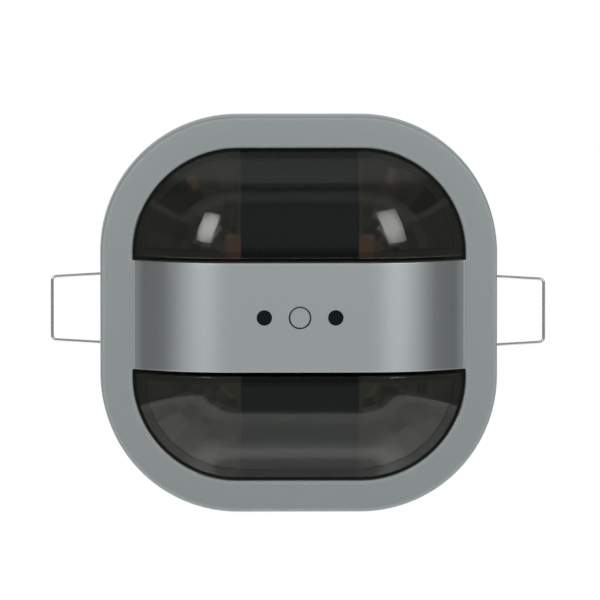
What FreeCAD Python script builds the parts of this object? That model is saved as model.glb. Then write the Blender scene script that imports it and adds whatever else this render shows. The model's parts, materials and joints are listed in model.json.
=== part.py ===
import FreeCAD, Part
import math
import os

from FreeCAD import Vector

# Recessed ceiling presence detector. Millimetres.
# It is built face up: x to the right, y up the face, z out of the ceiling into the room.
# The ceiling is the plane z = 0. At the end everything is turned so that the face looks along -Y.

# Front cover: a rounded square rim
cover_width = 103.0
cover_corner_radius = 35.6
rim_width = 8.5
rim_height = 11.0
rim_draft = 1.5
rim_land = 0.6
rim_crown = 0.1
rim_edge_radius = 0.6
opening_edge_radius = 0.5
cover_wall = 2.2
key_width = 2.4
key_depth = 1.6

# Dome surface shared by the bridge and the windows
dome_foot_inset = 0.45
shoulder_angle = 38.0
flank_run = 8.15
flank_radius = 90.0
dome_flat_radius = 1.64

# Bridge across the middle of the cover
bridge_width = 28.3
bridge_wall = 2.0
bridge_skirt = 1.6
bridge_foot_radius = 0.8
bridge_edge_radius = 0.35

# Smoked windows
window_gap = 0.8
window_bridge_gap = 0.95
window_wall = 1.8
window_edge_rounding = 0.5
window_flange_width = 3.35
window_flange_thickness = 1.5
window_flange_reach = 2.2

# Push button and its switch
button_diameter = 5.3
button_hole_diameter = 5.85
button_travel = 0.8
button_edge_chamfer = 0.25
button_stem_diameter = 3.0
button_collar_diameter = 7.4
button_collar_thickness = 1.2
sleeve_wall = 1.2
sleeve_length = 4.0
switch_size = 6.0
switch_height = 3.4
switch_plunger_diameter = 3.0
switch_plunger_height = 1.4
running_clearance = 0.05

# Sensor ports beside the button
port_spacing = 18.4
port_diameter = 4.0
port_recess = 0.5

# Inner chassis, optics and sensor board
carrier_thickness = 1.5
carrier_clearance = 0.5
board_thickness = 1.6
board_margin = 5.9
platform_clearance = 1.0
platform_wall = 1.4
platform_side_gap = 0.85
pyro_flange_diameter = 9.2
pyro_can_diameter = 8.2
pyro_height = 4.2
pyro_flange_thickness = 0.5
pyro_window_depth = 0.3
pyro_collar_wall = 1.3
pyro_collar_height = 2.2
segment_gap = 0.4
segment_thickness = 1.0
segment_sectors = 6
segment_rings = 5
segment_start = 0.2
component_height = 1.8
light_sensor_size = 3.2
receiver_size = 4.6
led_diameter = 1.8

# Rear housing that goes through the ceiling
ceiling_hole_diameter = 73.0
hole_clearance = 2.0
housing_depth = 33.0
housing_wall = 2.0
housing_flat_depth = 7.0
housing_flange_thickness = 1.9
flange_setback = 0.3
ledge_width = 2.0
board_rib_thickness = 1.6
gusset_thickness = 1.8
gusset_reach = 4.5
gusset_height = 11.0
gusset_spacing = 38.0
power_board_depth = 14.0
rear_cover_thickness = 2.0
rear_edge_rounding = 1.0
spigot_height = 1.5
spigot_wall = 1.5
fit_gap = 0.3

# Spring clips
wire_diameter = 0.75
clip_reach = 64.0
clip_tip_width = 16.4
clip_depth = 6.5
clip_bend_radius = 1.1
clip_turns = 2.25
coil_pitch = 0.81
coil_clearance = 0.1
pin_diameter = 3.4
pin_standoff = 3.7
pin_chamfer = 0.3
ear_wall = 1.0
ear_thickness = 2.0
ear_gap = 0.45
clip_rise_left = 0.6
clip_rise_right = -0.2

# Components on the power board: width, length and height, and the place of each centre
module_width = 26.0
module_length = 18.0
module_height = 9.0
module_y = 13.0
relay_width = 11.0
relay_height = 13.0
relay_x = -15.0
relay_y = -14.0
capacitor_diameter = 10.0
capacitor_height = 13.0
capacitor_x = 15.0
capacitor_y = -13.0
component_edge = 0.6

# Pin header between the two boards
link_pins = 8
link_pitch = 2.54
link_width = 5.0
link_y = -18.0
link_socket_height = 8.5
link_well_depth = 6.0
link_pin_reach = 5.0
link_pin_width = 0.64

# Screws
screw_shank_diameter = 2.4
screw_pilot_clearance = 0.05
screw_head_diameter = 4.6
screw_head_height = 1.3
screw_slot_width = 0.7
screw_boss_diameter = 5.4
screw_boss_position = 30.3
pilot_floor = 0.4
screw_tip_gap = 0.6
rear_boss_diameter = 6.0
rear_screw_length = 12.0
rear_pilot_floor = 2.0

# Mains terminals
terminal_count = 5
terminal_pitch = 5.0
terminal_depth = 11.0
terminal_height = 12.0
terminal_entry = 4.0
terminal_y = 17.0
terminal_end_wall = 1.0
terminal_back_wall = 2.0
clamp_wall = 0.5
terminal_screw_diameter = 2.2
terminal_screw_head_height = 1.6
terminal_screw_recess = 1.5
terminal_screw_reach = 1.2
grommet_diameter = 14.0
cable_hole_diameter = 8.0
grommet_lip = 1.6
grommet_y = -4.0

# Sizes worked out from those above
corner_offset = cover_width / 2 - cover_corner_radius
opening_radius = cover_corner_radius - rim_width
face_underside = rim_height - cover_wall
shoulder = math.radians(shoulder_angle)
shoulder_radius = (opening_radius - dome_foot_inset - flank_run - dome_flat_radius) / math.sin(shoulder)
foot_angle = math.asin(math.sin(shoulder) + flank_run / flank_radius)
flank_drop = flank_radius * (math.cos(shoulder) - math.cos(foot_angle))
dome_top = rim_height + flank_drop + shoulder_radius * (1 - math.cos(shoulder))
flange_underside = face_underside - window_flange_thickness
flange_top = flange_setback + housing_flange_thickness
board_top = flange_underside - carrier_thickness
board_underside = board_top - board_thickness
window_edge = bridge_width / 2 + window_bridge_gap
window_radius = opening_radius - window_gap
platform_half_width = corner_offset - platform_side_gap
housing_radius = ceiling_hole_diameter / 2 - hole_clearance
housing_flat = housing_radius - housing_flat_depth
coil_radius = pin_diameter / 2 + coil_clearance + wire_diameter / 2
pin_x = housing_flat + pin_standoff
pin_z = coil_radius - clip_depth
switch_top = board_top + switch_height
stem_foot = switch_top + switch_plunger_height
collar_top = dome_top - bridge_wall - sleeve_length


def face_of(points):
    """A flat face in the xz plane from its corner points."""
    corners = [Vector(x, 0, z) for x, z in points]
    return Part.Face(Part.makePolygon(corners + corners[:1]))


def box_between(low, high):
    size = [b - a for a, b in zip(low, high)]
    return Part.makeBox(size[0], size[1], size[2], Vector(*low))


def cylinder(radius, low, high, x=0.0, y=0.0):
    return Part.makeCylinder(radius, high - low, Vector(x, y, low), Vector(0, 0, 1))


def turned(shape, angle):
    """A copy turned about the axis of the detector."""
    copy = shape.copy()
    copy.rotate(Vector(0, 0, 0), Vector(0, 0, 1), angle)
    return copy


def round_square(section, core=None):
    """Carries a section round the cover's square plan: four straight sides and four revolved corners.

    The section lies in the xz plane, and its x is the distance out from the line of corner centres.
    A section that reaches x = 0 needs the heights of the square core inside those lines.
    """
    corner = section.revolve(Vector(0, 0, 0), Vector(0, 0, 1), 90)
    corner.translate(Vector(corner_offset, corner_offset, 0))
    side = section.extrude(Vector(0, -2 * corner_offset, 0))
    side.translate(Vector(corner_offset, corner_offset, 0))
    pieces = []
    for quarter in range(4):
        pieces.append(turned(corner, 90 * quarter))
        pieces.append(turned(side, 90 * quarter))
    if core:
        low, high = core
        pieces.append(box_between((-corner_offset, -corner_offset, low), (corner_offset, corner_offset, high)))
    return pieces[0].multiFuse(pieces[1:]).removeSplitter()


def square_plate(radius, low, high):
    """A flat plate with the plan of the cover, its edge at the given distance from the corner centres."""
    section = face_of([(0, low), (radius, low), (radius, high), (0, high)])
    return round_square(section, (low, high))


def dome_points(inset):
    """Top centre, shoulder start, shoulder middle and shoulder end of the dome, moved in by the inset."""
    radius = shoulder_radius - inset
    centre_z = dome_top - shoulder_radius
    points = [(0.0, dome_top - inset)]
    for angle in (0.0, shoulder / 2, shoulder):
        points.append((dome_flat_radius + radius * math.sin(angle), centre_z + radius * math.cos(angle)))
    return points


def flank_centre():
    """Centre of the flank's large arc, which runs on from the end of the shoulder without a kink."""
    distance, height = dome_points(0)[3]
    return distance - flank_radius * math.sin(shoulder), height - flank_radius * math.cos(shoulder)


def flank_height(inset, distance):
    """Height of the flank at a distance from the corner centre."""
    centre_x, centre_z = flank_centre()
    return centre_z + math.sqrt((flank_radius - inset) ** 2 - (distance - centre_x) ** 2)


def flank_distance(inset, height):
    """Distance from the corner centre at which the flank reaches a height."""
    centre_x, centre_z = flank_centre()
    return centre_x + math.sqrt((flank_radius - inset) ** 2 - (height - centre_z) ** 2)


def dome_edges(inset, foot):
    """Top, shoulder and flank of the dome's section, down to the foot."""
    top, start, middle, end = [Vector(x, 0, z) for x, z in dome_points(inset)]
    halfway = (end.x + foot.x) / 2
    on_flank = Vector(halfway, 0, flank_height(inset, halfway))
    return [
        Part.LineSegment(top, start).toShape(),
        Part.Arc(start, middle, end).toShape(),
        Part.Arc(end, on_flank, foot).toShape(),
    ]


def dome_solid(inset, radius, base):
    """The solid under the dome surface, down to a base height, with an upright side at the radius."""
    reach = min(radius, flank_distance(inset, base))
    foot = Vector(reach, 0, flank_height(inset, reach))
    top = Vector(0, 0, dome_top - inset)
    edges = dome_edges(inset, foot)
    corners = [foot, Vector(0, 0, base), top]
    if reach == radius:
        corners.insert(1, Vector(reach, 0, base))
    for first, second in zip(corners, corners[1:]):
        edges.append(Part.LineSegment(first, second).toShape())
    return round_square(Part.Face(Part.Wire(edges)), (base, top.z))


def bridge_blank():
    """The solid under the bridge: the dome with a rounded foot, on a land sunk into the rim."""
    centre_x, centre_z = flank_centre()
    foot_z = rim_height + bridge_foot_radius
    foot_x = centre_x + math.sqrt((flank_radius + bridge_foot_radius) ** 2 - (foot_z - centre_z) ** 2)
    away = Vector(centre_x - foot_x, 0, centre_z - foot_z).normalize()
    foot_centre = Vector(foot_x, 0, foot_z)
    on_flank = foot_centre + away * bridge_foot_radius
    on_rim = Vector(foot_x, 0, rim_height)
    between = (away + Vector(0, 0, -1)).normalize()
    mid_foot = foot_centre + between * bridge_foot_radius
    land = opening_radius + rim_land
    top = Vector(0, 0, dome_top)
    edges = dome_edges(0, on_flank)
    edges.append(Part.Arc(on_flank, mid_foot, on_rim).toShape())
    corners = [on_rim, Vector(land, 0, rim_height), Vector(land, 0, face_underside)]
    corners += [Vector(0, 0, face_underside), top]
    for first, second in zip(corners, corners[1:]):
        edges.append(Part.LineSegment(first, second).toShape())
    return round_square(Part.Face(Part.Wire(edges)), (face_underside, dome_top))


def slab(half_width):
    """Everything within a distance of the x axis."""
    reach = cover_width
    return box_between((-reach, -half_width, -reach), (reach, half_width, reach))


def above_line(start):
    """Everything further up the face than a line across it."""
    reach = cover_width
    return box_between((-reach, start, -reach), (reach, reach, reach))


def boss_places():
    """Centres of the four corner screws."""
    place = corner_offset + screw_boss_position * math.sqrt(0.5)
    return [(sx * place, sy * place) for sx in (1, -1) for sy in (1, -1)]


def draft_at(height):
    return height * math.tan(math.radians(rim_draft))


# Front cover

def cover_rim():
    outer_top = cover_corner_radius - draft_at(rim_height)
    crown_start = opening_radius + rim_land
    edge = Vector(outer_top, 0, rim_height - rim_crown)
    crown_middle = Vector((crown_start + outer_top) / 2, 0, rim_height - rim_crown / 4)
    edges = [
        Part.LineSegment(Vector(opening_radius, 0, rim_height), Vector(crown_start, 0, rim_height)).toShape(),
        Part.Arc(Vector(crown_start, 0, rim_height), crown_middle, edge).toShape(),
    ]
    inner_top = cover_corner_radius - cover_wall - draft_at(face_underside)
    corners = [
        edge,
        Vector(cover_corner_radius, 0, 0),
        Vector(cover_corner_radius - cover_wall, 0, 0),
        Vector(inner_top, 0, face_underside),
        Vector(opening_radius, 0, face_underside),
        Vector(opening_radius, 0, rim_height),
    ]
    for first, second in zip(corners, corners[1:]):
        edges.append(Part.LineSegment(first, second).toShape())
    rim = round_square(Part.Face(Part.Wire(edges)))
    outer = edges_at_height(rim, rim_height - rim_crown)
    rim = rim.makeFillet(rim_edge_radius, outer)
    inner = [edge for edge in edges_at_height(rim, rim_height) if on_plan(edge, opening_radius)]
    return rim.makeFillet(opening_edge_radius, inner)


def edges_at_height(shape, height):
    found = []
    for edge in shape.Edges:
        box = edge.BoundBox
        if abs(box.ZMin - height) < 1e-4 and abs(box.ZMax - height) < 1e-4:
            found.append(edge)
    return found


def on_plan(edge, radius):
    """Whether an edge follows the rounded square at a distance from the corner centres."""
    middle = edge.valueAt((edge.FirstParameter + edge.LastParameter) / 2)
    x = max(abs(middle.x) - corner_offset, 0)
    y = max(abs(middle.y) - corner_offset, 0)
    return abs(math.hypot(x, y) - radius) < 0.01


def bridge_solid():
    blank = bridge_blank().common(slab(bridge_width / 2))
    long_edges = []
    for edge in blank.Edges:
        box = edge.BoundBox
        along = abs(abs(box.YMin) - bridge_width / 2) < 1e-4 and box.YLength < 1e-4
        if along and box.ZMin > rim_height - 1e-4 and box.ZMax > rim_height + 0.2:
            long_edges.append(edge)
    blank = blank.makeFillet(bridge_edge_radius, long_edges)
    hollow = dome_solid(bridge_wall, opening_radius, face_underside)
    return blank.cut(hollow.common(slab(bridge_width / 2 - bridge_skirt)))


def wall_keys(width, depth, low, high):
    """Four upright keys, each at the middle of a side, from the cover's wall inwards."""
    wall = corner_offset + cover_corner_radius - cover_wall - draft_at(face_underside)
    key = box_between((wall - depth, -width / 2, low), (wall + cover_wall / 2, width / 2, high))
    return [turned(key, 90 * quarter) for quarter in range(4)]


def front_cover():
    cover = cover_rim().fuse(bridge_solid())
    sleeves = [cylinder(button_hole_diameter / 2 + sleeve_wall, collar_top, dome_top - bridge_wall / 2)]
    holes = [cylinder(button_hole_diameter / 2, collar_top - 1, dome_top + 1)]
    for side in (-1, 1):
        x = side * port_spacing / 2
        sleeves.append(cylinder(port_diameter / 2 + sleeve_wall, collar_top, dome_top - bridge_wall / 2, x))
        holes.append(cylinder(port_diameter / 2, collar_top - 1, dome_top + 1, x))
    for x, y in boss_places():
        sleeves.append(cylinder(screw_boss_diameter / 2, flange_top, face_underside + pilot_floor, x, y))
        pilot = screw_shank_diameter / 2 + screw_pilot_clearance
        holes.append(cylinder(pilot, flange_top - 1, face_underside - pilot_floor, x, y))
    sleeves.extend(wall_keys(key_width, key_depth, flange_top + fit_gap, face_underside + pilot_floor))
    return cover.multiFuse(sleeves).cut(Part.makeCompound(holes)).removeSplitter()


# Windows and optics

def window():
    """The upper window: a dome closed by a wall beside the bridge, on a flange behind the rim."""
    dome = dome_solid(0, window_radius, flange_underside).common(above_line(window_edge))
    uprights = []
    crest = []
    for edge in dome.Edges:
        box = edge.BoundBox
        at_edge = abs(box.YMin - window_edge) < 1e-4 and box.YLength < 1e-4
        if at_edge and box.ZLength > 1 and box.XLength < 1e-4:
            uprights.append(edge)
        elif at_edge and box.ZMin > flange_underside + 0.1:
            crest.append(edge)
    dome = dome.makeFillet(window_edge_rounding, crest + uprights)
    flange_radius = window_radius + window_flange_width
    flange_edge = window_edge - window_flange_reach
    flange = square_plate(flange_radius, flange_underside, face_underside).common(above_line(flange_edge))
    hollow = dome_solid(window_wall, window_radius - window_wall, flange_underside - 1)
    hollow = hollow.common(above_line(window_edge + window_wall))
    notches = []
    for x, y in boss_places():
        notches.append(cylinder(screw_boss_diameter / 2 + fit_gap, 0, face_underside + 1, x, y))
    return dome.fuse(flange).cut(hollow.fuse(notches)).removeSplitter()


def segment_section():
    """Corner points of the lens array's section: its outer side from the top down, its inner side back up."""
    sides = []
    for inset in (window_wall + segment_gap, window_wall + segment_gap + segment_thickness):
        foot = window_radius - inset
        side = [arc_point(inset, index / segment_rings) for index in range(segment_rings + 1)]
        sides.append(side + [(foot, flank_height(inset, foot)), (foot, flange_underside)])
    outer, inner = sides
    return outer + inner[::-1]


def arc_point(inset, share):
    """A point along the dome's shoulder, from near its flat top at 0 to its flank at 1."""
    angle = shoulder * (segment_start + (1 - segment_start) * share)
    radius = shoulder_radius - inset
    distance = dome_flat_radius + radius * math.sin(angle)
    return distance, dome_top - shoulder_radius + radius * math.cos(angle)


def segment_wedge():
    """One sector of the array. Its section runs straight across, so every segment is flat."""
    half = math.radians(90 / segment_sectors / 2)
    section = face_of([(distance * math.cos(half), height) for distance, height in segment_section()])
    width = window_radius * math.sin(half)
    section.translate(Vector(0, -width, 0))
    strip = section.extrude(Vector(0, 2 * width, 0))
    reach = window_radius
    side = reach * math.tan(half)
    plan = [Vector(0, 0, 0), Vector(reach, -side, 0), Vector(reach, side, 0), Vector(0, 0, 0)]
    return strip.common(Part.Face(Part.makePolygon(plan)).extrude(Vector(0, 0, dome_top)))


def segment_lens():
    """One corner's array of flat lens segments, standing on the chassis inside the window."""
    wedge = segment_wedge()
    sectors = [turned(wedge, 90 * (index + 0.5) / segment_sectors) for index in range(segment_sectors)]
    lens = sectors[0].multiFuse(sectors[1:])
    lens.translate(Vector(corner_offset, corner_offset, 0))
    low_x = corner_offset + segment_gap
    low_y = window_edge + window_wall + segment_gap
    reach = cover_width / 2
    return lens.common(box_between((low_x, low_y, 0), (reach, reach, dome_top))).removeSplitter()


def pyro_hole():
    return pyro_flange_diameter / 2 + fit_gap


def pyro_places():
    """As near the middle as the platform and the wall of the window leave room for the collars."""
    collar = pyro_hole() + pyro_collar_wall + fit_gap
    x = platform_half_width + collar
    y = window_edge + window_wall + collar
    return [(sx * x, sy * y) for sy in (1, -1) for sx in (-1, 1)]


def pyro_sensor(x, y):
    """A metal can with a square window in its top, on a thin flange."""
    can = cylinder(pyro_can_diameter / 2, board_top, board_top + pyro_height, x, y)
    flange = cylinder(pyro_flange_diameter / 2, board_top, board_top + pyro_flange_thickness, x, y)
    half = pyro_can_diameter / 4
    top = board_top + pyro_height
    recess = box_between((x - half, y - half, top - pyro_window_depth), (x + half, y + half, top + 1))
    return can.fuse(flange).cut(recess).removeSplitter()


def carrier_platform():
    """The dark hollow block under the middle of the upper window."""
    inset = window_wall + platform_clearance
    start = window_edge + inset
    outer = dome_solid(inset, window_radius - inset, flange_underside - carrier_thickness)
    half = platform_half_width
    outer = outer.common(box_between((-half, start, 0), (half, cover_width, dome_top)))
    deeper = inset + platform_wall
    inner = dome_solid(deeper, window_radius - deeper, board_top - 1)
    half -= platform_wall
    inner = inner.common(box_between((-half, start + platform_wall, 0), (half, cover_width, dome_top)))
    return outer, inner


def sensor_carrier():
    plate_radius = cover_corner_radius - cover_wall - draft_at(face_underside) - carrier_clearance
    plate = square_plate(plate_radius, board_top, flange_underside)
    outer, inner = carrier_platform()
    solids = [outer, turned(outer, 180)]
    hollows = [inner, turned(inner, 180)]
    hole = pyro_hole()
    for x, y in pyro_places():
        top = flange_underside + pyro_collar_height
        solids.append(cylinder(hole + pyro_collar_wall, board_top, top, x, y))
        hollows.append(cylinder(hole, board_top - 1, top + 1, x, y))
    for x, y in boss_places():
        hollows.append(cylinder(screw_boss_diameter / 2 + fit_gap, 0, rim_height, x, y))
    hollows.extend(wall_keys(key_width + 2 * fit_gap, key_depth + fit_gap, 0, rim_height))
    half_x = port_spacing / 2 + port_diameter / 2 + 2 * sleeve_wall
    half_y = bridge_width / 2 - bridge_skirt - window_flange_reach - sleeve_wall
    hollows.append(box_between((-half_x, -half_y, 0), (half_x, half_y, rim_height)))
    return plate.multiFuse(solids).cut(Part.makeCompound(hollows)).removeSplitter()


# Sensor board and what stands on it

def sensor_board():
    return square_plate(cover_corner_radius - cover_wall - board_margin, board_underside, board_top)


def port_guide(side):
    radius = port_diameter / 2 - running_clearance
    x = side * port_spacing / 2
    guide = cylinder(radius, board_top + component_height, dome_top - port_recess, x)
    return guide


def board_block(size, x):
    half = size / 2
    return box_between((x - half, -half, board_top), (x + half, half, board_top + component_height))


def status_led():
    x = port_spacing / 4
    y = -switch_size
    top = board_top + component_height
    body = cylinder(led_diameter / 2, board_top, top, x, y)
    return body.makeChamfer(led_diameter / 5, edges_at_height(body, top))


def button_switch():
    half = switch_size / 2
    body = box_between((-half, -half, board_top), (half, half, switch_top))
    well = switch_plunger_diameter / 2 + running_clearance
    return body.cut(cylinder(well, switch_top - 2 * button_travel, switch_top + 1))


def switch_plunger():
    low = switch_top - button_travel + running_clearance
    return cylinder(switch_plunger_diameter / 2, low, stem_foot)


def push_button():
    head = cylinder(button_diameter / 2, collar_top - button_collar_thickness, dome_top)
    head = head.makeChamfer(button_edge_chamfer, edges_at_height(head, dome_top))
    collar = cylinder(button_collar_diameter / 2, collar_top - button_collar_thickness, collar_top)
    stem = cylinder(button_stem_diameter / 2, stem_foot, collar_top - button_collar_thickness)
    return head.multiFuse([collar, stem]).removeSplitter()


# Rear housing and its cover

def flatted(radius, flat, low, high):
    """A round block with a flat on its left and right."""
    sides = box_between((-flat, -radius, low), (flat, radius, high))
    return cylinder(radius, low, high).common(sides)


def clip_ears(side, rise):
    """Two ears that hold a clip's pin, on the flat of the housing."""
    ear_radius = pin_diameter / 2 + ear_wall
    inner_face = ear_inner_face()
    ears = []
    for up in (1, -1):
        low = inner_face if up > 0 else -inner_face - ear_thickness
        low += rise
        round_end = Part.makeCylinder(ear_radius, ear_thickness, Vector(pin_x, low, pin_z), Vector(0, 1, 0))
        web = box_between(
            (housing_flat - housing_wall / 2, low, pin_z - ear_radius),
            (pin_x, low + ear_thickness, flange_top),
        )
        ears.append(round_end.fuse(web))
    ears = ears[0].fuse(ears[1])
    bore = Part.makeCylinder(
        pin_diameter / 2 + running_clearance, cover_width, Vector(pin_x, -cover_width / 2, pin_z), Vector(0, 1, 0)
    )
    if side < 0:
        ears = mirrored(ears)
        bore = mirrored(bore)
    return ears, bore


def mirrored(shape):
    return shape.mirror(Vector(0, 0, 0), Vector(1, 0, 0))


def rear_boss_places():
    place = housing_radius - housing_wall - ledge_width - rear_boss_diameter / 3
    return [(0.0, place), (0.0, -place)]


def gussets():
    """Webs between the flats of the housing and its flange, beside the clips."""
    start = housing_flat - housing_wall / 2
    corners = [
        (start, flange_top),
        (housing_flat + gusset_reach, flange_top),
        (housing_flat + gusset_reach, flange_setback),
        (housing_flat, -gusset_height),
        (start, -gusset_height),
    ]
    webs = []
    for middle in (-gusset_spacing / 2, gusset_spacing / 2):
        section = face_of(corners)
        section.translate(Vector(0, middle - gusset_thickness / 2, 0))
        web = section.extrude(Vector(0, gusset_thickness, 0))
        webs.extend([web, mirrored(web)])
    return webs


def rear_housing():
    flange_radius = cover_corner_radius - cover_wall - draft_at(flange_top) - fit_gap
    flange = square_plate(flange_radius, flange_setback, flange_top)
    board_edge = cover_corner_radius - cover_wall - board_margin
    rib = square_plate(board_edge, flange_setback, board_underside)
    rib = rib.cut(square_plate(board_edge - board_rib_thickness, 0, board_top))
    solids = [rib, flatted(housing_radius, housing_flat, -housing_depth, flange_top)]
    inner = housing_radius - housing_wall
    inner_flat = housing_flat - housing_wall
    hollows = [
        flatted(inner, inner_flat, -power_board_depth, board_top),
        flatted(inner - ledge_width, inner_flat, -housing_depth - 1, -power_board_depth + 1),
    ]
    shell = flange.multiFuse(solids).cut(Part.makeCompound(hollows))
    bosses = gussets()
    pilots = []
    for x, y in rear_boss_places():
        bosses.append(cylinder(rear_boss_diameter / 2, -housing_depth, -power_board_depth, x, y))
        pilot = screw_shank_diameter / 2 + screw_pilot_clearance
        pilots.append(cylinder(pilot, -housing_depth - 1, -power_board_depth - rear_pilot_floor, x, y))
    for side, rise in ((-1, clip_rise_left), (1, clip_rise_right)):
        ears, bore = clip_ears(side, rise)
        bosses.append(ears)
        pilots.append(bore.cut(flatted(housing_radius, housing_flat, -housing_depth, 0)))
    for x, y in boss_places():
        pilots.append(cylinder(screw_shank_diameter / 2 + fit_gap / 2, 0, flange_top + 1, x, y))
        pilots.append(cylinder(screw_head_diameter / 2 + fit_gap / 2, 0, flange_setback + screw_head_height, x, y))
    return shell.multiFuse(bosses).cut(Part.makeCompound(pilots)).removeSplitter()


def rear_cover():
    low = -housing_depth - rear_cover_thickness
    plate = flatted(housing_radius, housing_flat, low, -housing_depth)
    plate = plate.makeFillet(rear_edge_rounding, edges_at_height(plate, low))
    inner = housing_radius - housing_wall - ledge_width - fit_gap
    inner_flat = housing_flat - housing_wall - fit_gap
    spigot = flatted(inner, inner_flat, -housing_depth, -housing_depth + spigot_height)
    core = flatted(inner - spigot_wall, inner_flat - spigot_wall, -housing_depth, -housing_depth + spigot_height)
    spigot = spigot.cut(core)
    holes = [cylinder(grommet_diameter / 2, low - 1, -housing_depth + 1, 0, grommet_y)]
    for x, y in rear_boss_places():
        top = -housing_depth + spigot_height
        holes.append(cylinder(screw_shank_diameter / 2 + fit_gap / 2, low - 1, top, x, y))
        holes.append(cylinder(rear_boss_diameter / 2 + fit_gap, -housing_depth, top, x, y))
        holes.append(cylinder(screw_head_diameter / 2 + fit_gap / 2, low - 1, low + screw_head_height, x, y))
    return plate.fuse(spigot).cut(Part.makeCompound(holes)).removeSplitter()


def cable_grommet():
    """A rubber ring that grips the edge of the rear cover's hole."""
    low = -housing_depth - rear_cover_thickness
    neck = grommet_diameter / 2
    points = [
        (cable_hole_diameter / 2, low - grommet_lip),
        (neck + grommet_lip / 2, low - grommet_lip),
        (neck + grommet_lip, low),
        (neck, low),
        (neck, -housing_depth),
        (neck + grommet_lip, -housing_depth),
        (neck + grommet_lip / 2, -housing_depth + grommet_lip),
        (cable_hole_diameter / 2, -housing_depth + grommet_lip),
    ]
    ring = face_of(points).revolve(Vector(0, 0, 0), Vector(0, 0, 1), 360)
    ring.translate(Vector(0, grommet_y, 0))
    return ring


# Power board and what stands on it

def power_board():
    radius = housing_radius - housing_wall - fit_gap
    flat = housing_flat - housing_wall - fit_gap
    low = -power_board_depth
    return flatted(radius, flat, low, low + board_thickness)


def power_module():
    low = -power_board_depth + board_thickness
    top = low + module_height
    half = module_width / 2
    start = module_y - module_length / 2
    body = box_between((-half, start, low), (half, start + module_length, top))
    return body.makeChamfer(component_edge, edges_at_height(body, top))


def relay():
    top = -power_board_depth
    low = top - relay_height
    half = relay_width / 2
    body = box_between((relay_x - half, relay_y - half, low), (relay_x + half, relay_y + half, top))
    return body.makeChamfer(component_edge, edges_at_height(body, low))


def capacitor():
    top = -power_board_depth
    low = top - capacitor_height
    body = cylinder(capacitor_diameter / 2, low, top, capacitor_x, capacitor_y)
    return body.makeFillet(component_edge, edges_at_height(body, low))


def link_block(low, high):
    half = link_pins * link_pitch / 2
    return box_between((-half, link_y - link_width / 2, low), (half, link_y + link_width / 2, high))


def link_rods(width, low, high):
    rods = []
    for index in range(link_pins):
        x = (index - (link_pins - 1) / 2) * link_pitch
        half = width / 2
        rods.append(box_between((x - half, link_y - half, low), (x + half, link_y + half, high)))
    return rods


def board_link_socket():
    low = -power_board_depth + board_thickness
    top = low + link_socket_height
    wells = link_rods(link_pin_width + 2 * running_clearance, top - link_well_depth, top + 1)
    return link_block(low, top).cut(Part.makeCompound(wells))


def board_link_header():
    socket_top = -power_board_depth + board_thickness + link_socket_height
    rods = link_rods(link_pin_width, socket_top - link_pin_reach, board_underside - 1)
    return link_block(socket_top, board_underside).multiFuse(rods).removeSplitter()


# Mains terminals

def terminal_places():
    return [(index - (terminal_count - 1) / 2) * terminal_pitch for index in range(terminal_count)]


def terminal_block():
    """A row of poles with wire entries towards the cable hole and screws towards the rear."""
    half = terminal_count * terminal_pitch / 2 + terminal_end_wall
    top = -power_board_depth
    y_low = terminal_y - terminal_depth / 2
    block = box_between((-half, y_low, top - terminal_height), (half, y_low + terminal_depth, top))
    cuts = []
    entry = terminal_entry / 2
    z = top - terminal_height / 3
    for x in terminal_places():
        low = (x - entry, y_low - 1, z - entry)
        cuts.append(box_between(low, (x + entry, y_low + terminal_depth - terminal_back_wall, z + entry)))
        screw_hole = screw_head_diameter / 2 - clamp_wall
        cuts.append(cylinder(screw_hole, top - terminal_height - 1, z, x, terminal_y))
    return block.cut(Part.makeCompound(cuts))


def terminal_clamps():
    """Brass cages, one in each pole."""
    y_low = terminal_y - terminal_depth / 2 + terminal_back_wall
    z = -power_board_depth - terminal_height / 3
    outer = terminal_entry / 2 - running_clearance
    inner = outer - clamp_wall
    length = terminal_depth - 2 * terminal_back_wall - running_clearance
    cages = []
    for x in terminal_places():
        cage = box_between((x - outer, y_low, z - outer), (x + outer, y_low + length, z + outer))
        cage = cage.cut(box_between((x - inner, y_low - 1, z - inner), (x + inner, y_low + length + 1, z + inner)))
        tapped = cylinder(terminal_screw_diameter / 2 + running_clearance, z - outer - 1, z, x, terminal_y)
        cages.append(cage.cut(tapped))
    return Part.makeCompound(cages)


def slotted_screw(head_radius, head_height, shank_radius, length):
    """A screw along +z, its head's outer face at z = 0, with a straight slot."""
    head = cylinder(head_radius, 0, head_height)
    shank = cylinder(shank_radius, head_height, length)
    half = screw_slot_width / 2
    slot = box_between((-head_radius, -half, -1), (head_radius, half, head_height / 2))
    return head.fuse(shank).cut(slot)


def terminal_screws():
    z = -power_board_depth - terminal_height / 3
    cage_underside = z - terminal_entry / 2 + running_clearance
    head_radius = screw_head_diameter / 2 - clamp_wall - running_clearance
    head_face = -power_board_depth - terminal_height + terminal_screw_recess
    length = cage_underside + terminal_screw_reach - head_face
    screws = []
    for x in terminal_places():
        screw = slotted_screw(head_radius, terminal_screw_head_height, terminal_screw_diameter / 2, length)
        screw.translate(Vector(x, terminal_y, head_face))
        screws.append(screw)
    return Part.makeCompound(screws)


# Housing screws

def cover_screws():
    screws = []
    for x, y in boss_places():
        length = face_underside - pilot_floor - screw_tip_gap - flange_setback
        screw = slotted_screw(screw_head_diameter / 2, screw_head_height, screw_shank_diameter / 2, length)
        screw.translate(Vector(x, y, flange_setback))
        screws.append(screw)
    return Part.makeCompound(screws)


def rear_screws():
    low = -housing_depth - rear_cover_thickness
    screws = []
    for x, y in rear_boss_places():
        screw = slotted_screw(screw_head_diameter / 2, screw_head_height, screw_shank_diameter / 2, rear_screw_length)
        screw.translate(Vector(x, y, low))
        screws.append(screw)
    return Part.makeCompound(screws)


# Spring clips

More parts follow.
